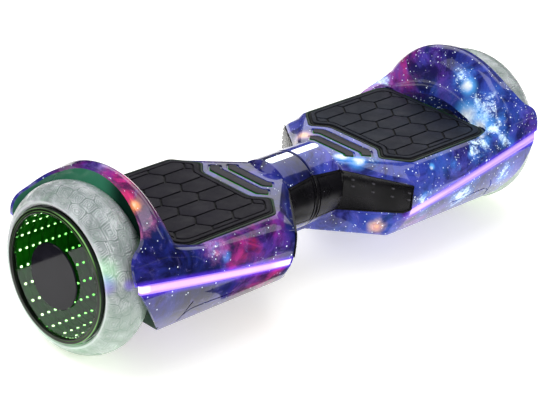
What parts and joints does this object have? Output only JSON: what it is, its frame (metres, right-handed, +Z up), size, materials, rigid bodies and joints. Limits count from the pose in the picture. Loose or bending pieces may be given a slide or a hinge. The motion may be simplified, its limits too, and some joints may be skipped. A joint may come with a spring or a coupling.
{
  "type": "self balancing board",
  "caption": "Two-wheeled self balancing board: two halves twist about a centre pivot, each with a foot pad, a fender and a hub-motor wheel with a lit mirror disc.",
  "frame": {"origin": "on the ground, midway between the two wheels and below the centre pivot", "axes": "+X along the board towards the right half, -Y the front with the front light strips, +Z up"},
  "size_m": [0.6108, 0.1826, 0.1762],
  "materials": {
    "printed_shell": "glossy printed star-field film over ABS",
    "black_panel": "black satin plastic with moulded ribs",
    "light_strip": "milky light guide, lit violet",
    "accent": "dark inlay with a green-lit edge",
    "indicator": "white indicator lens",
    "cast_frame": "as-cast",
    "steel_part": "machined",
    "circuit_board": "green solder mask",
    "motor_winding": "enamelled copper wire",
    "clear_tyre": "milky see-through rubber lit green",
    "hub_metal": "die cast, lightly brushed",
    "reflector": "plane mirror",
    "led_carrier": "lit green",
    "dark_glass": "half-silvered tinted glass",
    "black_trim": "glossy black",
    "pad_rubber": "matt moulded rubber",
    "nylon": "smooth nylon",
    "cable": "braided sleeve",
    "battery_wrap": "shrink wrap"
  },
  "bodies": {
    "half_left": {"upper_shell_left": "printed_shell", "lower_shell_left": "printed_shell", "front_panel_left": "black_panel", "rear_panel_left": "black_panel", "front_light_strip_left": "light_strip", "rear_light_strip_left": "light_strip", "accent_bar_outer_left": "accent", "accent_bar_inner_left": "accent", "indicator_lens_left": "indicator", "frame_casting_left": "cast_frame", "axle_clamp_left": "steel_part", "gyro_board_left": "circuit_board", "axle_left": "steel_part", "stator_left": "motor_winding", "pivot_tube": "steel_part", "retaining_ring": "steel_part", "wire_harness": "cable", "battery_pack": "battery_wrap", "charge_port": "black_trim"},
    "half_right": {"upper_shell_right": "printed_shell", "lower_shell_right": "printed_shell", "front_panel_right": "black_panel", "rear_panel_right": "black_panel", "front_light_strip_right": "light_strip", "rear_light_strip_right": "light_strip", "accent_bar_outer_right": "accent", "accent_bar_inner_right": "accent", "indicator_lens_right": "indicator", "frame_casting_right": "cast_frame", "axle_clamp_right": "steel_part", "gyro_board_right": "circuit_board", "axle_right": "steel_part", "stator_right": "motor_winding", "pivot_bushing": "nylon", "control_board": "circuit_board", "speaker": "black_trim"},
    "wheel_left": {"tyre_left": "clear_tyre", "motor_housing_left": "hub_metal", "motor_cover_left": "hub_metal", "rotor_ring_left": "steel_part", "wheel_bearing_left": "steel_part", "reflector_disc_left": "reflector", "led_ring_left": "led_carrier", "mirror_glass_left": "dark_glass", "bezel_ring_left": "black_trim", "hub_cap_left": "black_trim"},
    "wheel_right": {"tyre_right": "clear_tyre", "motor_housing_right": "hub_metal", "motor_cover_right": "hub_metal", "rotor_ring_right": "steel_part", "wheel_bearing_right": "steel_part", "reflector_disc_right": "reflector", "led_ring_right": "led_carrier", "mirror_glass_right": "dark_glass", "bezel_ring_right": "black_trim", "hub_cap_right": "black_trim"},
    "pad_left": {"foot_pad_left": "pad_rubber"},
    "pad_right": {"foot_pad_right": "pad_rubber"},
    "socket_cap": {"charge_cap": "pad_rubber"},
    "button": {"power_button": "steel_part"}
  },
  "joints": [
    {"name": "centre_pivot", "type": "hinge", "parent": "half_left", "child": "half_right", "pos_m": [0, 0, 0.0825], "axis": [1, 0, 0], "range_deg": [-12, 12]},
    {"name": "wheel_spin_left", "type": "hinge", "parent": "half_left", "child": "wheel_left", "pos_m": [-0.278, 0, 0.0825], "axis": [1, 0, 0], "continuous": true},
    {"name": "wheel_spin_right", "type": "hinge", "parent": "half_right", "child": "wheel_right", "pos_m": [0.278, 0, 0.0825], "axis": [1, 0, 0], "continuous": true},
    {"name": "pad_press_left", "type": "slide", "parent": "half_left", "child": "pad_left", "axis": [0, 0, -1], "range_m": [0, 0.0015], "stiffness_N_per_m": 20000},
    {"name": "pad_press_right", "type": "slide", "parent": "half_right", "child": "pad_right", "axis": [0, 0, -1], "range_m": [0, 0.0015], "stiffness_N_per_m": 20000},
    {"name": "power_button_press", "type": "slide", "parent": "half_left", "child": "button", "axis": [0, -1, 0], "range_m": [0, 0.0015], "stiffness_N_per_m": 800},
    {"name": "charge_cap_hinge", "type": "hinge", "parent": "half_left", "child": "socket_cap", "pos_m": [-0.221, 0.0902, 0.0794], "axis": [1, 0, 0], "range_deg": [0, 110]}
  ]
}
